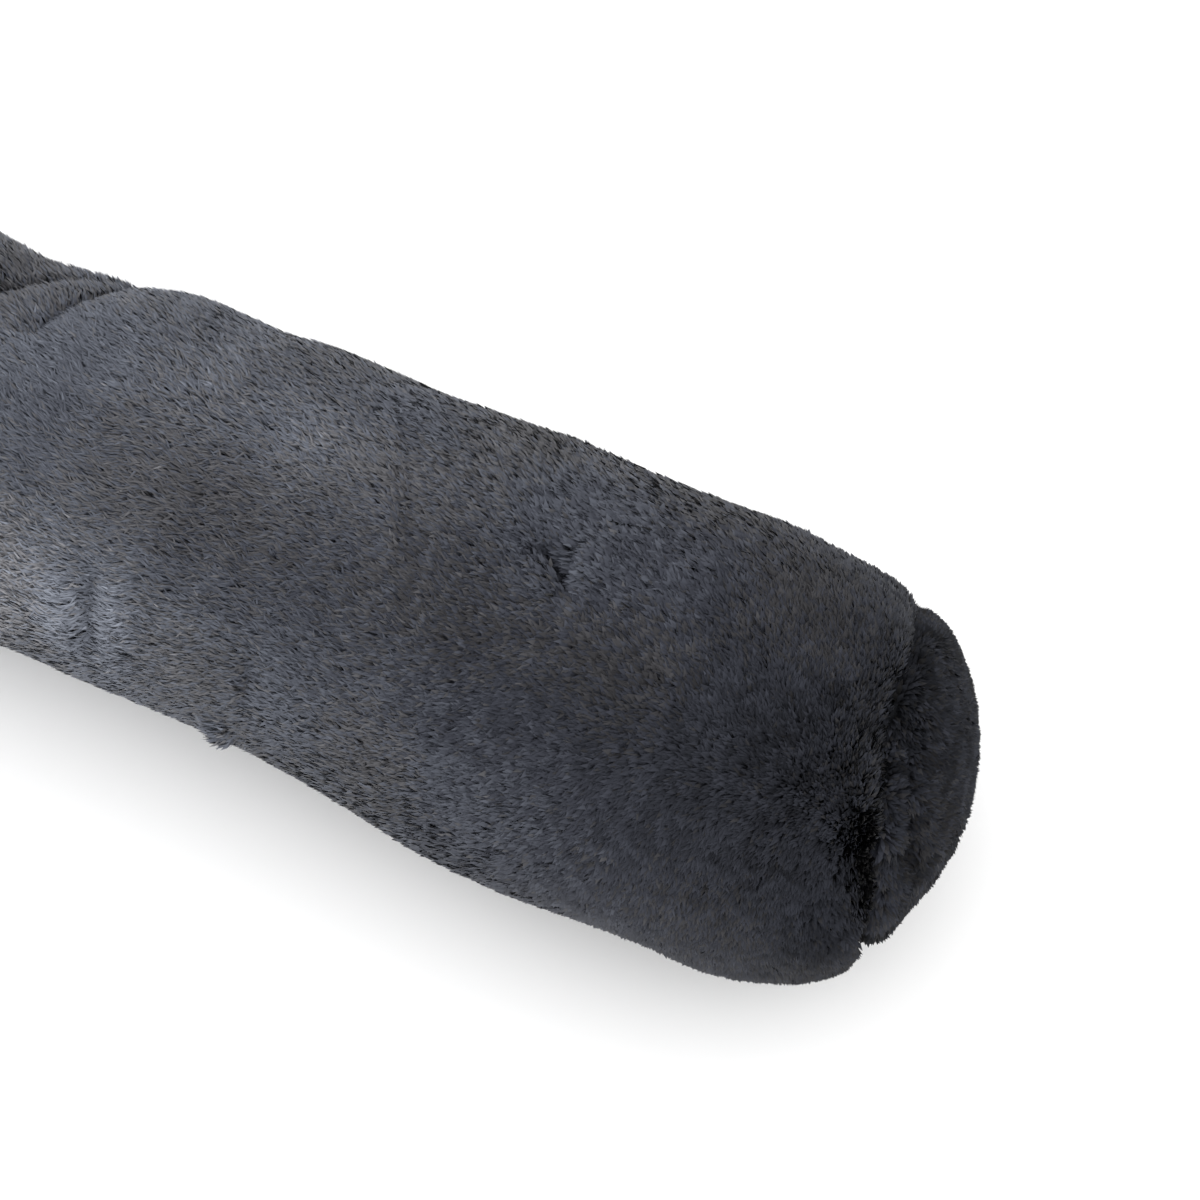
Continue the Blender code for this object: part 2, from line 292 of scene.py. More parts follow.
def seam_x(rim, angle):
    """Where an end seam lies along the tube at angles round it."""
    turn = angle_round(rim)
    order = np.argsort(turn)
    return np.interp(angle, turn[order], rim[order, 0], period=360.0)


move_points(tube, draw_in_tube(solid_points))
swell(tube, TUBE_SWELL)

# Fine relief on top of the solid's own lumps and folds: each trough runs between two places, which
# are where the tips of the pile show it
Trough = namedtuple("Trough", "x_from angle_from x_to angle_to depth width")
TROUGHS = (
    Trough(x_from=0.117, angle_from=264, x_to=0.100, angle_to=196, depth=0.0016, width=0.0032),
    Trough(x_from=0.108, angle_from=254, x_to=0.066, angle_to=190, depth=0.0014, width=0.0030),
    Trough(x_from=0.078, angle_from=186, x_to=0.070, angle_to=172, depth=0.0012, width=0.0040),
    Trough(x_from=0.291, angle_from=191, x_to=0.302, angle_to=184, depth=0.0060, width=0.0034),
    Trough(x_from=0.306, angle_from=184, x_to=0.306, angle_to=195, depth=-0.0020, width=0.0026),
    Trough(x_from=0.154, angle_from=129, x_to=0.155, angle_to=106, depth=0.0015, width=0.0050),
    Trough(x_from=0.144, angle_from=122, x_to=0.144, angle_to=108, depth=-0.0008, width=0.0060),
    Trough(x_from=0.164, angle_from=132, x_to=0.163, angle_to=120, depth=-0.0007, width=0.0060),
    Trough(x_from=0.212, angle_from=123, x_to=0.213, angle_to=112, depth=0.0014, width=0.0034),
    Trough(x_from=0.209, angle_from=112, x_to=0.209, angle_to=105, depth=-0.0008, width=0.0030),
    Trough(x_from=0.201, angle_from=90, x_to=0.203, angle_to=86, depth=-0.0050, width=0.0036),
    Trough(x_from=0.231, angle_from=210, x_to=0.248, angle_to=178, depth=0.0012, width=0.0060),
)
SEAM_DEPTH = 0.0012
SEAM_REACH = 0.0022
SEAM_DRAWN_ANGLE = 150
SEAM_DRAWN_AROUND = 50.0
SEAM_LEAST = 0.3
CRUSHED_PILE = 0.0016
PRESSED_REACH = 0.04
GATHER_COUNT = 46
GATHER_DEPTH = 0.0016
GATHER_JITTER = 0.3
GATHER_REACH = (0.010, 0.026)
GATHER_LEAST = 0.4
GATHER_WIDTH = 2.2
WALL_SLOPE = 0.88
rng = np.random.default_rng(7)


def troughs_at(rows, x, angle):
    """How deep the troughs are at each place."""
    around = np.radians(angle) * TUBE_RADIUS
    depth = np.zeros(len(x))
    for row in rows:
        start = np.array((row.x_from, math.radians(row.angle_from) * TUBE_RADIUS))
        run = np.array((row.x_to, math.radians(row.angle_to) * TUBE_RADIUS)) - start
        offset = np.stack((x, around), 1) - start
        share = np.clip(offset @ run / (run @ run), 0.0, 1.0)
        away = np.linalg.norm(offset - share[:, None] * run, axis=1)
        depth += row.depth * bell(away, row.width)
    return depth


def gathers_at(points, rim, side):
    """How deep the gathers are at each place, where the tube's edge is eased into an end seam."""
    angle = angle_round(points)
    inward = (seam_x(rim, angle) - points[:, 0]) * side
    depth = np.zeros(len(points))
    for i in range(GATHER_COUNT):
        middle = 360.0 * (i + rng.uniform(-GATHER_JITTER, GATHER_JITTER)) / GATHER_COUNT
        reach = rng.uniform(*GATHER_REACH)
        strength = rng.uniform(GATHER_LEAST, 1.0) * GATHER_DEPTH
        depth += strength * bell(turn_between(angle, middle), GATHER_WIDTH) * bell(inward, reach)
    return depth


def at_seam(points):
    """From 0, away from both end seams, to 1 where a seam is drawn in most, at its front and top."""
    angle = angle_round(points)
    near = bell(points[:, 0] - seam_x(near_rim, angle), SEAM_REACH)
    far = bell(points[:, 0] - seam_x(far_rim, angle), SEAM_REACH)
    drawn = bell(turn_between(angle, SEAM_DRAWN_ANGLE), SEAM_DRAWN_AROUND)
    return (near + far) * (SEAM_LEAST + (1.0 - SEAM_LEAST) * drawn)


def press_in(points, relief):
    """Points pressed towards the tube's middle line, none of them lower than the crushed pile."""
    offset = from_middle_line(points)
    radius = np.maximum(np.linalg.norm(offset, axis=1), SMALLEST_RADIUS)
    pressed = points.copy()
    pressed[:, 1:] -= offset / radius[:, None] * (relief * smooth(radius / PRESSED_REACH))[:, None]
    pressed[:, 2] = np.maximum(pressed[:, 2], CRUSHED_PILE)
    return pressed


skin_points = points_of(tube)
relief = troughs_at(TROUGHS, skin_points[:, 0] - tube_reach(skin_points), angle_round(skin_points))
relief += gathers_at(skin_points, near_rim, 1)
relief += gathers_at(skin_points, far_rim, -1)
relief += SEAM_DEPTH * at_seam(skin_points)
move_points(tube, press_in(skin_points, relief))


BACKING_GRAIN = 420.0
BACKING_DETAIL = 3.0
BACKING_SHADOW = 0.4
BACKING_BUMP = 0.6
BACKING_RELIEF = 0.0006
BACKING_ROUGHNESS = 0.95
BACKING_GLOSS = 0.1
TUBE_BACKING = (0.050, 0.054, 0.066)
# A darker copy of the same backing, painted shade, for the end panels and the bare end walls
SHADED_BACKING = (0.014, 0.015, 0.018)


def backing(name, colour):
    """The plush's woven backing, dark between the roots of the pile."""
    material = bpy.data.materials.new(name)
    material.use_nodes = True
    nodes = material.node_tree.nodes
    links = material.node_tree.links
    shader = nodes["Principled BSDF"]
    place = nodes.new("ShaderNodeTexCoord")
    cloud = nodes.new("ShaderNodeTexNoise")
    cloud.inputs["Scale"].default_value = BACKING_GRAIN
    cloud.inputs["Detail"].default_value = BACKING_DETAIL
    shade = nodes.new("ShaderNodeValToRGB")
    shade.color_ramp.elements[0].color = (*(BACKING_SHADOW * part for part in colour), 1.0)
    shade.color_ramp.elements[1].color = (*colour, 1.0)
    bump = nodes.new("ShaderNodeBump")
    bump.inputs["Strength"].default_value = BACKING_BUMP
    bump.inputs["Distance"].default_value = BACKING_RELIEF
    links.new(place.outputs["Object"], cloud.inputs["Vector"])
    links.new(cloud.outputs["Fac"], shade.inputs["Fac"])
    links.new(shade.outputs["Color"], shader.inputs["Base Color"])
    links.new(cloud.outputs["Fac"], bump.inputs["Height"])
    links.new(bump.outputs["Normal"], shader.inputs["Normal"])
    shader.inputs["Roughness"].default_value = BACKING_ROUGHNESS
    shader.inputs["Specular IOR Level"].default_value = BACKING_GLOSS
    return material


# The walls that face along the tube bear no pile. They take the panels' backing, a darker copy of the
# tube's backing: painted shade, so the bare walls look like the shadow deep in each end groove
shaded_backing = backing("shaded_backing", SHADED_BACKING)
tube.data.materials.append(backing("tube_backing", TUBE_BACKING))
tube.data.materials.append(shaded_backing)
for face in tube.data.polygons:
    face.material_index = int(abs(face.normal.x) > WALL_SLOPE)
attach(tube, "root")
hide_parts("body_panel")


# The tube's pile is soft synthetic fibre, 7 to 10 mm long, that stands in small tufts. It leans
# towards the far end, parts and fans out round the near end, and stands up along the near seam. On
# the underside the tube's weight crushes it flat.

TUFT_WIDTH = 0.00092
CLUMP_SIZE = 0.0026
CLUMP_PULL = 0.27
LOCK_SIZE = 0.0038
LOCK_PULL = 0.38
LOCKS_FROM = 0.340
TUBE_TUFTS = 378000
TUBE_STRETCHES = 4
HIDDEN_SHARE = 0.16
ROOT_DEPTH = 0.0008
FLOOR_CLEARANCE = 0.0003
NORMAL_SOFTNESS = 0.8
STREAK = 0.08
BEND_PULL = 0.5
LATTICE = (12.9898, 78.233, 37.719)
LATTICE_SEED = 3.7
LATTICE_SPREAD = 43758.5453
NOISE_SHIFT = 17.31
CLUMP_SHIFT = 5.13
CLUMP_JITTER = 0.8
NO_CLUMP_YET = 9.0


def scatter(cells, seed):
    """A random number from 0 to 1 for each cell of a lattice."""
    value = np.sin(cells @ LATTICE + seed * LATTICE_SEED) * LATTICE_SPREAD
    return value - np.floor(value)


CORNERS = [(x, y, z) for x in (0, 1) for y in (0, 1) for z in (0, 1)]


def soft_noise(points, size, seed):
    """Soft random values from -1 to 1 that change over a given size."""
    place = points / size + seed * NOISE_SHIFT
    cell = np.floor(place)
    part = smooth(place - cell)
    total = np.zeros(len(points))
    for corner in CORNERS:
        weight = np.prod(np.where(corner, part, 1.0 - part), axis=1)
        total += weight * scatter(cell + corner, seed)
    return total * 2.0 - 1.0


Waver = namedtuple("Waver", "strength size seed")


def wavered(values, points, wavers):
    """Values with soft noise added, one size after another."""
    for waver in wavers:
        values = values + waver.strength * soft_noise(points, waver.size, waver.seed)
    return values


def clumps(points, size, seed):
    """The middle of the clump that each tuft belongs to, and the clump's own random number."""
    place = points / size + seed * CLUMP_SHIFT
    low = np.floor(place - 0.5)
    best = np.full(len(points), NO_CLUMP_YET)
    middle = np.zeros_like(points)
    number = np.zeros(len(points))
    for corner in CORNERS:
        cell = low + corner
        jitter = np.stack([scatter(cell, seed + k) for k in (1, 2, 3)], 1) - 0.5
        spot = cell + 0.5 + CLUMP_JITTER * jitter
        away = np.linalg.norm(spot - place, axis=1)
        closer = away < best
        best[closer] = away[closer]
        middle[closer] = spot[closer]
        number[closer] = scatter(cell[closer], seed + 4)
    return (middle - seed * CLUMP_SHIFT) * size, number


def unit(vectors):
    return vectors / np.maximum(np.linalg.norm(vectors, axis=1, keepdims=True), 1e-9)


def dot(a, b):
    return (a * b).sum(1, keepdims=True)


EVEN_STEPS = (0.7548777, 0.5698403)


def roots_on(piece, count, thickness):
    """Evenly spread places on a skin with the skin's outward direction at each."""
    mesh = piece.data
    mesh.calc_loop_triangles()
    corners = np.empty(len(mesh.loop_triangles) * 3, np.int32)
    mesh.loop_triangles.foreach_get("vertices", corners)
    corners = corners.reshape(-1, 3)
    points = points_of(piece)
    normals = np.empty(len(points) * 3, np.float32)
    mesh.vertex_normals.foreach_get("vector", normals)
    normals = normals.reshape(-1, 3)
    a, b, c = (points[corners[:, i]] for i in range(3))
    faces = np.cross(b - a, c - a)
    area = np.linalg.norm(faces, axis=1)
    share = area * thickness((a + b + c) / 3.0, unit(faces))
    filled = np.cumsum(share)
    turn = np.arange(count)
    chosen = np.searchsorted(filled, (turn + rng.random(count)) / count * filled[-1])
    chosen = np.minimum(chosen, len(corners) - 1)
    u, v = ((turn * step % 1.0)[:, None] for step in EVEN_STEPS)
    over = u + v > 1.0
    u, v = np.where(over, 1.0 - u, u), np.where(over, 1.0 - v, v)
    picked = corners[chosen]
    places = [points[picked[:, i]] for i in range(3)]
    turns = [normals[picked[:, i]] for i in range(3)]
    root = places[0] * (1.0 - u - v) + places[1] * u + places[2] * v
    outward = unit(turns[0] * (1.0 - u - v) + turns[1] * u + turns[2] * v)
    return root, outward


# Tufts of pile, an array in each column: their roots, the skin's outward direction there, the
# direction and angle at which they lean, their sizes, how far they draw towards the middle of their
# clump, and their colour: its tone, how much it differs from side to side, and 1 for warm fibre
Tufts = namedtuple("Tufts", "root outward lean rise length width pull middle tone streak warm")
TUFT_POINTS = 4
TUFT_CORNERS = (0, 1, 2, 2, 1, 3)
TWIST = 0.5
HALF_WIDTHS = (0.38, 0.62)
STREAK_SHARES = (0.05, 1.0)
TONE_RANGE = (0.01, 0.99)
ROOT_TO_TIP = (0.02, BEND_SHARE, BEND_SHARE, 0.98)
MAP_USED = 0.48
MAP_MARGIN = 0.01
MAP_HALF = 0.5


def make_pile(name, tufts):
    """One mesh of bent tufts, each two triangles: from its root to its bend, and on to its tip.

    The map PileUV holds each tuft's tone across it and its root to tip upwards, cool fibre in the
    lower half and warm fibre in the upper half.
    """
    count = len(tufts.root)
    outward = tufts.outward
    rise = np.radians(tufts.rise)[:, None]
    steeper = rise + math.radians(ROOT_STEEPER)
    flatter = rise - math.radians(TIP_FLATTER)
    length = tufts.length[:, None]
    low = np.cos(steeper) * tufts.lean + np.sin(steeper) * outward
    high = np.cos(flatter) * tufts.lean + np.sin(flatter) * outward
    start = tufts.root - ROOT_DEPTH * outward
    bend = start + BEND_SHARE * length * low
    tip = bend + (1.0 - BEND_SHARE) * length * high
    gather = tufts.middle - tufts.root
    gather = tufts.pull[:, None] * (gather - dot(gather, outward) * outward)
    tip += gather
    bend += BEND_PULL * gather
    side = unit(np.cross(low + high, outward) + 0.0001)
    across = unit(np.cross(side, low + high))
    twist = rng.normal(0.0, TWIST, (count, 1))
    side = np.cos(twist) * side + np.sin(twist) * across
    half = tufts.width[:, None] * rng.uniform(*HALF_WIDTHS, (count, 1))
    left = bend + side * half
    right = bend - side * half
    face = unit(np.cross(left - tip, right - tip))
    turned = dot(face, outward) < 0.0
    left, right = np.where(turned, right, left), np.where(turned, left, right)
    face = np.where(turned, -face, face)
    corners = np.stack((start, right, left, tip), 1)
    corners[:, :, 2] = np.maximum(corners[:, :, 2], FLOOR_CLEARANCE)
    normal = unit(NORMAL_SOFTNESS * outward + (1.0 - NORMAL_SOFTNESS) * face)

    mesh = bpy.data.meshes.new(name)
    mesh.vertices.add(TUFT_POINTS * count)
    mesh.vertices.foreach_set("co", corners.ravel())
    around = (TUFT_POINTS * np.arange(count)[:, None] + np.array(TUFT_CORNERS)).ravel()
    mesh.loops.add(len(around))
    mesh.loops.foreach_set("vertex_index", around)
    mesh.polygons.add(len(around) // 3)
    mesh.polygons.foreach_set("loop_start", np.arange(0, len(around), 3))
    mesh.polygons.foreach_set("use_smooth", np.ones(len(around) // 3, bool))
    streak = rng.choice((-1.0, 1.0), count) * rng.uniform(*STREAK_SHARES, count) * tufts.streak
    tone = tufts.tone[:, None] + streak[:, None] * np.array((0.0, 1.0, -1.0, 0.0))
    tone = np.clip(tone, *TONE_RANGE)
    along = np.array(ROOT_TO_TIP) * MAP_USED + MAP_MARGIN + MAP_HALF * tufts.warm[:, None]
    spots = np.stack((tone, along), 2).reshape(-1, 2)[around]
    for map_name in ("PileUV", "OFBake"):
        mesh.uv_layers.new(name=map_name).data.foreach_set("uv", spots.ravel())
    mesh.update()
    mesh.validate()
    mesh.normals_split_custom_set_from_vertices(np.repeat(normal, TUFT_POINTS, axis=0))
    piece = bpy.data.objects.new(name, mesh)
    bpy.context.scene.collection.objects.link(piece)
    return piece


# Tones of the fibre, from the darkest to the lightest
Tone = namedtuple("Tone", "place cool warm")
TONES = (
    Tone(place=0.00, cool=(0.0050, 0.0055, 0.0076), warm=(0.0066, 0.0062, 0.0066)),
    Tone(place=0.35, cool=(0.0340, 0.0366, 0.0480), warm=(0.0400, 0.0394, 0.0430)),
    Tone(place=0.70, cool=(0.1140, 0.1240, 0.1510), warm=(0.1280, 0.1280, 0.1380)),
    Tone(place=1.00, cool=(0.2900, 0.3120, 0.3650), warm=(0.3200, 0.3180, 0.3380)),
)
# Painted shade along each tuft: how light it is from its root, deep in the pile, to its tip, as a
# share of its tone
Shade = namedtuple("Shade", "place share")
PAINTED_ROOT_SHADES = (
    Shade(place=0.00, share=0.62),
    Shade(place=0.45, share=0.75),
    Shade(place=0.75, share=0.90),
    Shade(place=1.00, share=1.00),
)


FIBRE_ROUGHNESS = 0.65
FIBRE_GLOSS = 0.06
SHEEN_ROUGHNESS = 0.50
TUBE_SHEEN = 0.10


def fibre(name, sheen):
    """Soft fibre in cool and warm greys, darkened towards its root by painted shade, as deep in the
    pile.
    """
    material = bpy.data.materials.new(name)
    material.use_nodes = True
    nodes = material.node_tree.nodes
    links = material.node_tree.links
    shader = nodes["Principled BSDF"]
    place = nodes.new("ShaderNodeUVMap")
    place.uv_map = "PileUV"
    split = nodes.new("ShaderNodeSeparateXYZ")
    links.new(place.outputs["UV"], split.inputs["Vector"])

    ramps = []
    for column in ("cool", "warm"):
        ramp = nodes.new("ShaderNodeValToRGB")
        elements = ramp.color_ramp.elements
        while len(elements) < len(TONES):
            elements.new(0.5)
        for element, tone in zip(elements, TONES):
            element.position = tone.place
            element.color = (*getattr(tone, column), 1.0)
        links.new(split.outputs["X"], ramp.inputs["Fac"])
        ramps.append(ramp)
    warm = nodes.new("ShaderNodeMath")
    warm.operation = "GREATER_THAN"
    warm.inputs[1].default_value = MAP_HALF
    links.new(split.outputs["Y"], warm.inputs[0])
    fibre_colour = nodes.new("ShaderNodeMix")
    fibre_colour.data_type = "RGBA"
    links.new(warm.outputs[0], fibre_colour.inputs["Factor"])
    links.new(ramps[0].outputs["Color"], fibre_colour.inputs["A"])
    links.new(ramps[1].outputs["Color"], fibre_colour.inputs["B"])

    doubled = nodes.new("ShaderNodeMath")
    doubled.operation = "MULTIPLY"
    doubled.inputs[1].default_value = 1.0 / MAP_HALF
    links.new(split.outputs["Y"], doubled.inputs[0])
    along = nodes.new("ShaderNodeMath")
    along.operation = "FRACT"
    links.new(doubled.outputs[0], along.inputs[0])
    shade = nodes.new("ShaderNodeValToRGB")
    elements = shade.color_ramp.elements
    while len(elements) < len(PAINTED_ROOT_SHADES):
        elements.new(0.5)
    for element, row in zip(elements, PAINTED_ROOT_SHADES):
        element.position = row.place
        element.color = (row.share, row.share, row.share, 1.0)
    links.new(along.outputs[0], shade.inputs["Fac"])
    shaded = nodes.new("ShaderNodeVectorMath")
    shaded.operation = "MULTIPLY"
    links.new(fibre_colour.outputs["Result"], shaded.inputs[0])
    links.new(shade.outputs["Color"], shaded.inputs[1])
    links.new(shaded.outputs["Vector"], shader.inputs["Base Color"])

    shader.inputs["Roughness"].default_value = FIBRE_ROUGHNESS
    shader.inputs["Specular IOR Level"].default_value = FIBRE_GLOSS
    shader.inputs["Sheen Weight"].default_value = sheen
    shader.inputs["Sheen Roughness"].default_value = SHEEN_ROUGHNESS
    return material


GROOVE_ANGLE = 125.0
GROOVE_AROUND = 30.0
GROOVE_REACH = 0.010
GROOVE_BUSH = 0.30
FAR_CROWDING = 0.60
MIDDLE_CROWDING = Change(most=0.70, start=-0.06, run=0.08)
NEAR_CROWDING = Change(most=0.7, start=0.33, run=0.08)
UNDERSIDE_HEIGHT = 0.020
UNDERSIDE_EASE = 0.010
UNDERSIDE_SLOPE = -0.6


def in_groove(points):
    """From 0 to 1 where longer pile fills the groove along the front of the near seam."""
    angle = angle_round(points)
    beside = bell(points[:, 0] - seam_x(near_rim, angle), GROOVE_REACH)
    return beside * bell(turn_between(angle, GROOVE_ANGLE), GROOVE_AROUND)


def crowding(points):
    """How closely tufts stand along the tube: closest where they stand up, at the near end."""
    return FAR_CROWDING + change_at(points, MIDDLE_CROWDING) + change_at(points, NEAR_CROWDING)


def not_on_walls(middles, faces):
    """Pile stands all over the tube but on its sewn walls, and thinly on the floor."""
    wall = abs(faces[:, 0]) > WALL_SLOPE
    low_down = smooth((UNDERSIDE_HEIGHT - middles[:, 2]) / UNDERSIDE_EASE)
    under = low_down * (faces[:, 2] < UNDERSIDE_SLOPE)
    return np.where(wall, 0.0, (1.0 - (1.0 - HIDDEN_SHARE) * under) * crowding(middles))


# The tone of the tufts at places along the tube, and how much single tufts differ from it. Along the
# tube it falls towards both ends, most towards the near end: painted shade where the ends turn from
# the light
TONE_SPREAD = 0.050
TONE_X = (-0.45, -0.38, -0.28, 0.02, 0.12, 0.20, 0.30, 0.38, 0.42)
TONE_AND_SHADE_ALONG = (0.44, 0.55, 0.66, 0.70, 0.675, 0.565, 0.445, 0.24, 0.16)
ACROSS_BANDS = (1.0, 0.35, 0.35)

# Soft patches, partly where the pile has been stroked lighter or darker and partly painted light and
# shade: a painted highlight low on the front, painted shade on the back and along the top
Cloud = namedtuple("Cloud", "x angle along around tone")
STROKES_AND_PAINTED_LIGHT = (
    Cloud(x=0.125, angle=112, along=0.075, around=27, tone=0.175),
    Cloud(x=0.045, angle=222, along=0.070, around=32, tone=-0.28),
    Cloud(x=0.135, angle=172, along=0.040, around=26, tone=-0.08),
    Cloud(x=0.141, angle=115, along=0.012, around=14, tone=0.04),
    Cloud(x=0.163, angle=126, along=0.012, around=12, tone=0.05),
    Cloud(x=0.205, angle=194, along=0.050, around=16, tone=0.09),
    Cloud(x=0.220, angle=156, along=0.160, around=24, tone=-0.135),
    Cloud(x=0.272, angle=186, along=0.020, around=18, tone=-0.05),
    Cloud(x=0.300, angle=112, along=0.040, around=20, tone=0.04),
    Cloud(x=0.345, angle=192, along=0.060, around=25, tone=0.02),
    Cloud(x=0.375, angle=100, along=0.050, around=22, tone=0.01),
    Cloud(x=0.392, angle=174, along=0.016, around=14, tone=-0.05),
    Cloud(x=0.394, angle=150, along=0.010, around=22, tone=-0.06),
)

# Which way the tufts lie: their sweep to one side, their rise, and where they draw into locks
CLUMP_SEED = 3
TURN_SEED = 23
LOCKS_EDGE = Waver(strength=0.012, size=0.010, seed=21)
SWEEPS = (
    Waver(strength=10.0, size=0.045, seed=1),
    Waver(strength=10.0, size=0.012, seed=2),
)
FAR_SWEEP = Change(most=9.0, start=0.20, run=-0.10)
BRUSHED_UP = 24.0
BRUSHED_X = 0.295
BRUSHED_ALONG = 0.022
BRUSHED_ANGLE = 152.0
BRUSHED_AROUND = 22.0
CLUMP_SWEEP = 44.0
TUFT_SWEEP = 17.0
RISES = (
    Waver(strength=3.0, size=0.035, seed=4),
    Waver(strength=3.0, size=0.010, seed=5),
)
TUFT_RISE = 2.5

# How long and wide the tufts are, and how creases and seams shorten them. Painted shade darkens the
# tufts in creases and seams, and a little painted light lightens them on ridges
CREASE_FULL = 0.003
CREASE_RANGE = (-0.4, 1.0)
CREASE_SHORTER = 0.45
CREASE_PAINTED_SHADE = 0.22
SEAM_SHORTER = 0.12
SEAM_PAINTED_SHADE = 0.08
LENGTHS = (0.88, 1.03)
WIDER = Change(most=1.6, start=0.18, run=0.18)

# How the tone varies over the tube, between its clumps and between warm and cool fibre
PATCHES = (
    Waver(strength=0.03, size=0.050, seed=6),
    Waver(strength=0.03, size=0.016, seed=7),
)
BAND = Waver(strength=0.05, size=0.014, seed=9)
BANDS_END = Change(most=1.0, start=0.30, run=-0.10)
LESS_EVEN = Change(most=0.45, start=0.18, run=0.16)
CLUMP_CONTRAST = 0.27
CLUMP_EVENED = 0.19
WARM_SHARE = 0.20
WARM_PATCHES = Waver(strength=0.85, size=0.036, seed=8)
WARM_RANGE = (0.04, 0.85)

root, outward = roots_on(tube, TUBE_TUFTS, not_on_walls)
count = len(root)
angle = angle_round(root)
lean = np.tile((-1.0, 0.0, 0.0), (count, 1))
middle, clump_tone = clumps(root, CLUMP_SIZE, CLUMP_SEED)
_, clump_turn = clumps(root, CLUMP_SIZE, TURN_SEED)
lock_middle, lock_tone = clumps(root, LOCK_SIZE, CLUMP_SEED)
_, lock_turn = clumps(root, LOCK_SIZE, TURN_SEED)
in_locks = wavered(root[:, 0], root, (LOCKS_EDGE,)) > LOCKS_FROM
middle = np.where(in_locks[:, None], lock_middle, middle)
clump_tone = np.where(in_locks, lock_tone, clump_tone)
clump_turn = np.where(in_locks, lock_turn, clump_turn)
sweep = wavered(0.0, root, SWEEPS) - change_at(root, FAR_SWEEP)
brushed = BRUSHED_UP * bell(root[:, 0] - BRUSHED_X, BRUSHED_ALONG)
sweep += brushed * bell(turn_between(angle, BRUSHED_ANGLE), BRUSHED_AROUND)
sweep = np.radians(sweep + CLUMP_SWEEP * (clump_turn - 0.5) + rng.normal(0.0, TUFT_SWEEP, count))
sweep -= tube_fan(root)
lean = unit(lean - dot(lean, outward) * outward)
across = np.cross(outward, lean)
lean = np.cos(sweep)[:, None] * lean + np.sin(sweep)[:, None] * across
rise = wavered(tube_rise(root), root, RISES)
rise += rng.normal(0.0, TUFT_RISE, count)
creased = troughs_at(TROUGHS, root[:, 0] - tube_reach(root), angle) / CREASE_FULL
creased = np.clip(creased, *CREASE_RANGE)
length = tube_length(root) * rng.uniform(*LENGTHS, count)
length *= (1.0 - CREASE_SHORTER * np.maximum(creased, 0.0)) * (1.0 - SEAM_SHORTER * at_seam(root))
length *= 1.0 + GROOVE_BUSH * in_groove(root)
width = TUFT_WIDTH / np.sqrt(crowding(root)) * (1.0 + change_at(root, WIDER))

# Tone along the tube, with painted shade darkening it towards both ends
tone_and_shade_along = np.interp(root[:, 0], TONE_X, TONE_AND_SHADE_ALONG)
tone = wavered(tone_and_shade_along, root, PATCHES)
tone += wavered(0.0, root * ACROSS_BANDS, (BAND,)) * change_at(root, BANDS_END)
# Patches of stroked pile and of painted light and shade
for cloud in STROKES_AND_PAINTED_LIGHT:
    near = bell(root[:, 0] - tube_reach(root) - cloud.x, cloud.along)
    tone += cloud.tone * near * bell(turn_between(angle, cloud.angle), cloud.around)
# Painted shade in the creases and along the seams, and a little painted light on ridges
tone -= CREASE_PAINTED_SHADE * creased + SEAM_PAINTED_SHADE * at_seam(root)
evener = 1.0 - change_at(root, LESS_EVEN)
clump_contrast = CLUMP_CONTRAST - CLUMP_EVENED * evener
tone += clump_contrast * (clump_tone - 0.5) + evener * rng.normal(0.0, TONE_SPREAD, count)
warm_share = np.clip(wavered(WARM_SHARE, root, (WARM_PATCHES,)), *WARM_RANGE)
warm = (rng.random(count) < warm_share).astype(float)

pull = np.where(in_locks, LOCK_PULL, CLUMP_PULL)
streak = STREAK * evener**2
tufts = Tufts(root, outward, lean, rise, length, width, pull, middle, tone, streak, warm)

tube_fibre = fibre("tube_fibre", TUBE_SHEEN)
stretch = np.argsort(root[:, 0])
for i, part in enumerate(np.array_split(stretch, TUBE_STRETCHES)):
    pile = make_pile(f"tube_pile_{i + 1}", Tufts(*(column[part] for column in tufts)))
    pile.data.materials.append(tube_fibre)
    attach(pile, "root")


# Each end panel is a round piece of the same plush, sewn into the tube's edge and crowned by the
# stuffing behind it. Its pile stands more upright and leans down towards the floor.

PANEL_SWELL = 0.002
PANEL_RISE = 46
PANEL_CLUMP_SIZE = 0.0050
PANEL_CLUMP_PULL = 0.30
PANEL_LENGTH = 0.0085
PANEL_TUFTS = 29000
PANEL_EDGE = 0.016
PANEL_MIDDLE = 0.03
PANEL_BULGE = 0.0045
BULGE_REACH = 0.020
PANEL_WALL_SLOPE = -0.75
EDGE_HEIGHT = 0.5
EDGE_LENGTH = 0.75
PANEL_SHEEN = 0.03

# How the panels' tufts lie, and how long and wide they are
OUTWARD_LEAN = 0.25
PANEL_SWEEPS = (
    Waver(strength=36.0, size=0.026, seed=11),
    Waver(strength=40.0, size=0.008, seed=12),
)
PANEL_CLUMP_SWEEP = 70.0
PANEL_TUFT_SWEEP = 14.0
PANEL_RISES = (
    Waver(strength=10.0, size=0.022, seed=14),
    Waver(strength=8.0, size=0.007, seed=15),
)
PANEL_TUFT_RISE = 4.0
PANEL_LENGTHS = (0.88, 1.04)
PANEL_CREASE_RANGE = (-1.0, 1.0)
PANEL_CREASE_SHORTER = 0.35
PANEL_SEAM_SHORTER = 0.25
PANEL_WIDER = 1.9

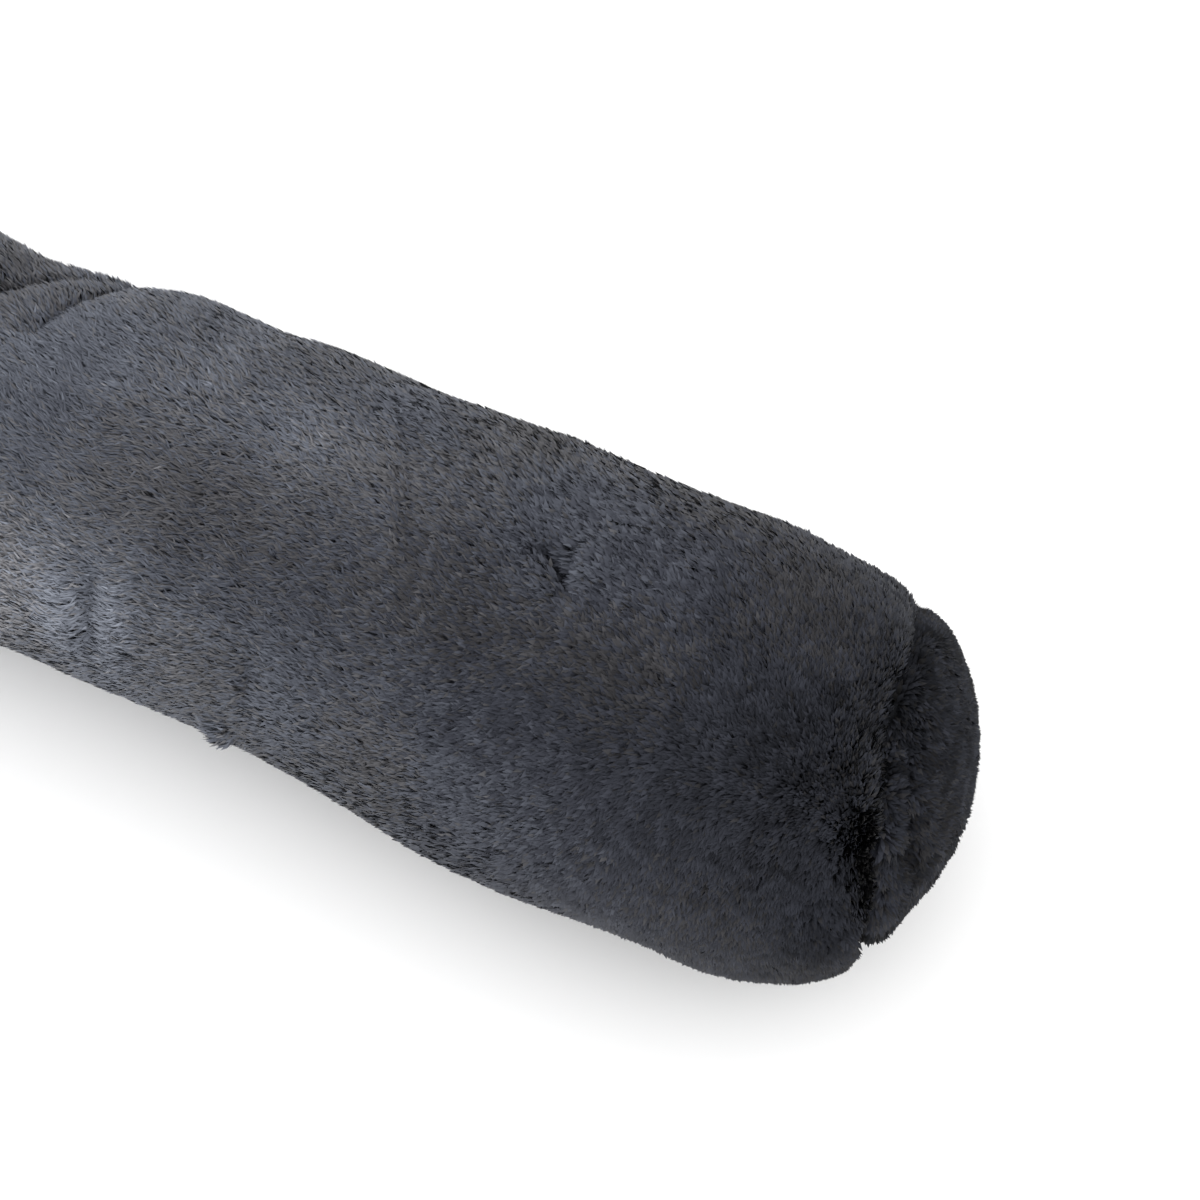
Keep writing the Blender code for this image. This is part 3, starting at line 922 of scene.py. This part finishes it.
# How the panels' tone varies, with painted shade that darkens them low down towards the floor, in
# their creases and along the seam
LOW_HEIGHT = 0.070
LOW_EASE = 0.050
LOW_PAINTED_SHADE = 0.12
PANEL_PATCH = Waver(strength=0.04, size=0.030, seed=16)
PANEL_GRAIN = Waver(strength=0.08, size=0.006, seed=19)
PANEL_CLUMP_CONTRAST = 0.17
PANEL_TONE_SPREAD = 0.045
PANEL_CREASE_SHADE = 0.14
PANEL_WARM = 0.2
PANEL_WARM_LOW = 0.5
PANEL_WARM_PATCHES = Waver(strength=0.3, size=0.030, seed=18)
PANEL_STREAK = 0.05

# Creases that the near panel shows, as troughs and ridges of its skin. The far panel repeats them
PANEL_TROUGHS = (
    Trough(x_from=0.424, angle_from=200, x_to=0.446, angle_to=216, depth=0.0055, width=0.0036),
    Trough(x_from=0.428, angle_from=184, x_to=0.438, angle_to=196, depth=-0.0034, width=0.0055),
    Trough(x_from=0.426, angle_from=146, x_to=0.446, angle_to=172, depth=0.0045, width=0.0040),
    Trough(x_from=0.428, angle_from=110, x_to=0.440, angle_to=140, depth=0.0035, width=0.0040),
)


def crown_only(side, middles, faces):
    return (faces[:, 0] * side > PANEL_WALL_SLOPE).astype(float)


panel_fibre = fibre("panel_fibre", PANEL_SHEEN)
# Each panel's tone is darker than the tube's, the near panel's most: painted shade on the ends,
# deepest on the near end, which faces away from the lamp
for node, skin_name, pile_name, middle, side, panel_tone_and_shade in (
    ("end_panel_near", "near_panel_skin", "near_panel_pile", near_middle, 1, 0.09),
    ("end_panel_far", "far_panel_skin", "far_panel_pile", far_middle, -1, 0.20),
):
    panel = copy_of(node, skin_name)
    points = points_of(panel)
    away = points - np.array(middle)
    reach = np.maximum(np.linalg.norm(away, axis=1), SMALLEST_RADIUS)
    to_seam = abs(points[:, 0] - middle.x)
    height = nap_height(crushed_flat(points, PANEL_RISE), PANEL_LENGTH)
    height *= smooth(reach / PANEL_MIDDLE)
    height *= EDGE_HEIGHT + (1.0 - EDGE_HEIGHT) * smooth(to_seam / PANEL_EDGE)
    height -= PANEL_BULGE * (at_corner(points) * bell(to_seam, BULGE_REACH))
    move_points(panel, points - away / reach[:, None] * height[:, None])
    swell(panel, PANEL_SWELL)
    skin_points = points_of(panel)
    relief = troughs_at(PANEL_TROUGHS, side * skin_points[:, 0], angle_round(skin_points))
    relief += SEAM_DEPTH * at_seam(skin_points)
    move_points(panel, press_in(skin_points, relief))
    # The panel takes the darker copy of the backing, painted shade
    panel.data.materials.append(shaded_backing)
    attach(panel, "root")
    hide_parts(node)

    # Pile stands all over the crown, and none on the flat wall that is sewn to the tube
    crown = partial(crown_only, side)
    root, outward = roots_on(panel, PANEL_TUFTS, crown)
    count = len(root)
    lean = np.tile((0.0, 0.0, -1.0), (count, 1)) + OUTWARD_LEAN * unit(root - np.array(middle))
    lean = unit(lean - dot(lean, outward) * outward)
    _, clump_turn = clumps(root, PANEL_CLUMP_SIZE, TURN_SEED)
    sweep = np.radians(wavered(0.0, root, PANEL_SWEEPS))
    sweep += np.radians(PANEL_CLUMP_SWEEP * (clump_turn - 0.5))
    sweep += np.radians(rng.normal(0.0, PANEL_TUFT_SWEEP, count))
    across = np.cross(outward, lean)
    lean = np.cos(sweep)[:, None] * lean + np.sin(sweep)[:, None] * across
    rise = wavered(PANEL_RISE, root, PANEL_RISES)
    rise += rng.normal(0.0, PANEL_TUFT_RISE, count)
    rise = crushed_flat(root, rise)
    creased = troughs_at(PANEL_TROUGHS, side * root[:, 0], angle_round(root)) / CREASE_FULL
    creased = np.clip(creased, *PANEL_CREASE_RANGE)
    length = PANEL_LENGTH * rng.uniform(*PANEL_LENGTHS, count)
    length *= 1.0 - PANEL_SEAM_SHORTER * at_seam(root)
    to_seam = abs(root[:, 0] - middle.x)
    length *= EDGE_LENGTH + (1.0 - EDGE_LENGTH) * smooth(to_seam / PANEL_EDGE)
    length *= 1.0 - PANEL_CREASE_SHORTER * np.maximum(creased, 0.0)
    length *= 1.0 + GROOVE_BUSH * in_groove(root)
    middles, clump_tone = clumps(root, PANEL_CLUMP_SIZE, CLUMP_SEED)
    width = np.full(count, PANEL_WIDER * TUFT_WIDTH)
    # Painted shade darkens each panel low down, towards the floor
    low_down = smooth((LOW_HEIGHT - root[:, 2]) / LOW_EASE)
    tone = wavered(panel_tone_and_shade - LOW_PAINTED_SHADE * low_down, root, (PANEL_PATCH, PANEL_GRAIN))
    tone += PANEL_CLUMP_CONTRAST * (clump_tone - 0.5)
    tone += rng.normal(0.0, PANEL_TONE_SPREAD, count)
    # Painted shade in the panel's creases and along its seam, and a little painted light on its
    # ridges
    tone -= PANEL_CREASE_SHADE * (creased + at_seam(root))
    warm_share = PANEL_WARM + PANEL_WARM_LOW * low_down
    warm_share = wavered(warm_share, root, (PANEL_WARM_PATCHES,))
    warm = (rng.random(count) < warm_share).astype(float)
    pull = np.full(count, PANEL_CLUMP_PULL)
    streak = np.full(count, PANEL_STREAK)
    tufts = Tufts(root, outward, lean, rise, length, width, pull, middles, tone, streak, warm)
    pile = make_pile(pile_name, tufts)
    pile.data.materials.append(panel_fibre)
    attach(pile, "root")


# A plain pale floor that the tube lies on, and the pale room round it. The room's even light is
# plain soft studio light. Neither is part of the object.

FLOOR_SIDE = 8.0
FLOOR_PALE = (0.9, 0.9, 0.9, 1.0)
FLOOR_ROUGHNESS = 0.9
ROOM_WHITE = (1.0, 1.0, 1.0, 1.0)
ROOM_LIGHT = 1.55

bpy.ops.object.select_all(action="DESELECT")
bpy.ops.mesh.primitive_plane_add(size=FLOOR_SIDE, location=(0.0, 0.0, 0.0))
floor = bpy.context.object
floor.name = "floor"
floor_paint = bpy.data.materials.new("floor_paint")
floor_paint.use_nodes = True
floor_shader = floor_paint.node_tree.nodes["Principled BSDF"]
floor_shader.inputs["Base Color"].default_value = FLOOR_PALE
floor_shader.inputs["Roughness"].default_value = FLOOR_ROUGHNESS
floor.data.materials.append(floor_paint)

room = bpy.data.worlds.new("room")
room.use_nodes = True
room_light = room.node_tree.nodes["Background"]
room_light.inputs["Color"].default_value = ROOM_WHITE
room_light.inputs["Strength"].default_value = ROOM_LIGHT
bpy.context.scene.world = room


# One large soft lamp hangs beyond the far end of the tube and a little behind it, and shines down
# along its length.

LAMP_PLACE = Vector((-0.70, 0.35, 1.05))
LAMP_AIM = Vector((0.10, 0.0, 0.05))
LAMP_SIDE = 1.1
LAMP_POWER = 4.0

lamp = bpy.data.objects.new("key", bpy.data.lights.new("key", "AREA"))
lamp.data.size = LAMP_SIDE
lamp.data.energy = LAMP_POWER
lamp.location = LAMP_PLACE
lamp.rotation_euler = (LAMP_AIM - LAMP_PLACE).to_track_quat("-Z", "Y").to_euler()
bpy.context.scene.collection.objects.link(lamp)


# The camera looks steeply down on the near end from the front, as the photo does. Its shift and
# depth of field stay off.

CAMERA_AZIMUTH = math.radians(23.5)
CAMERA_ELEVATION = math.radians(68.0)
CAMERA_DISTANCE = 1.0
CAMERA_TARGET = Vector((0.3065, 0.0250, 0.0700))
CAMERA_LENS = 88.5
SENSOR_WIDTH = 36.0

camera = bpy.data.objects.new("camera", bpy.data.cameras.new("camera"))
camera.data.lens = CAMERA_LENS
camera.data.sensor_width = SENSOR_WIDTH
back = Vector((
    math.sin(CAMERA_AZIMUTH) * math.cos(CAMERA_ELEVATION),
    -math.cos(CAMERA_AZIMUTH) * math.cos(CAMERA_ELEVATION),
    math.sin(CAMERA_ELEVATION),
))
camera.location = CAMERA_TARGET + CAMERA_DISTANCE * back
camera.rotation_euler = back.to_track_quat("Z", "Y").to_euler()
bpy.context.scene.collection.objects.link(camera)
bpy.context.scene.camera = camera
bpy.context.scene.view_settings.view_transform = "Standard"
